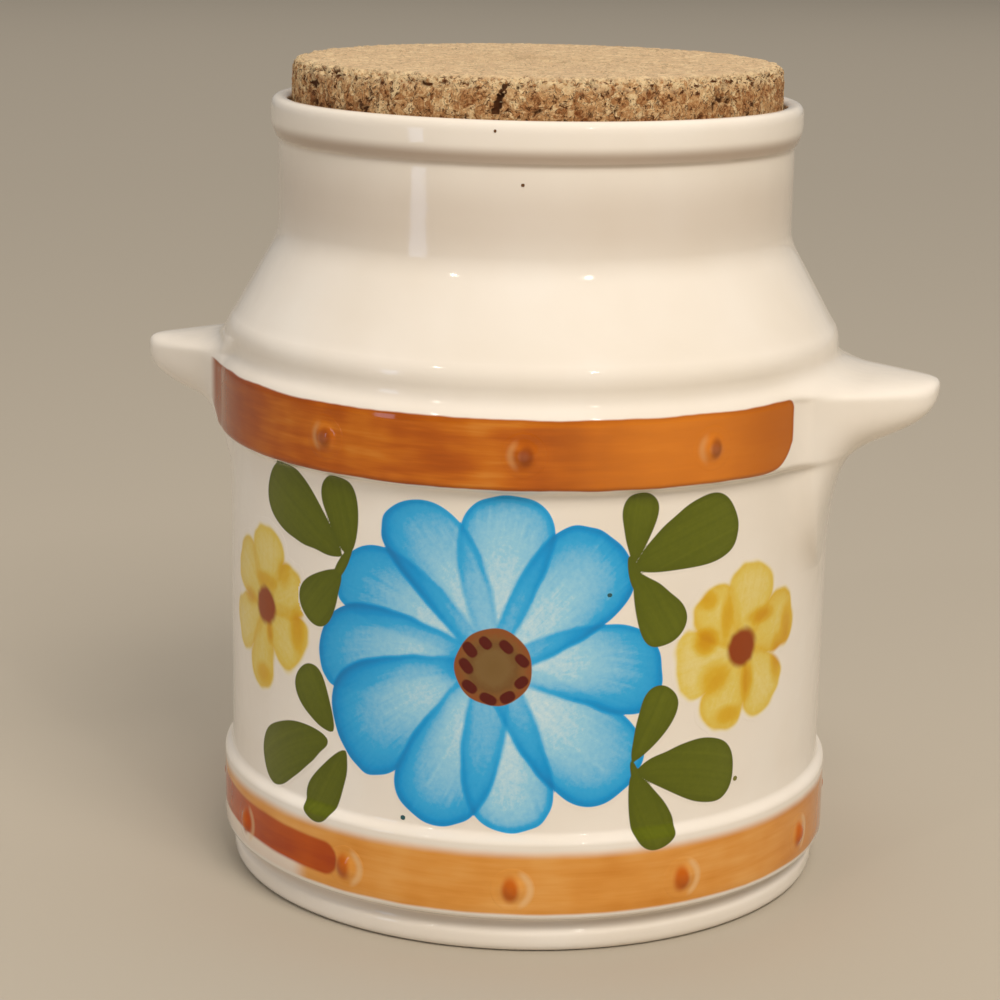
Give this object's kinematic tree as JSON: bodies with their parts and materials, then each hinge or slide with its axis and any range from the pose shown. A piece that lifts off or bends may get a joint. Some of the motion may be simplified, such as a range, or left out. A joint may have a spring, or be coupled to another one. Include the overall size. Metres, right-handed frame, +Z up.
{
  "type": "stoneware canister with cork stopper",
  "caption": "Milk-churn shaped stoneware canister with raised straps, rivets and side lugs, hand-painted flowers, closed by a flat cork stopper.",
  "frame": {"origin": "middle of the foot, on the surface the canister stands on", "axes": "+Z up along the jar's axis; -Y towards the decorated front; the lugs lie near the X axis, the +X one turned a little to the front"},
  "size_m": [0.1784, 0.141, 0.1804],
  "materials": {
    "glazed_stoneware": "warm white gloss glaze with hand-painted flowers and orange-brown straps",
    "cork": "bare agglomerated cork, matt and pitted"
  },
  "bodies": {
    "root": {"jar": "glazed_stoneware", "cork_stopper": "cork"}
  },
  "joints": []
}
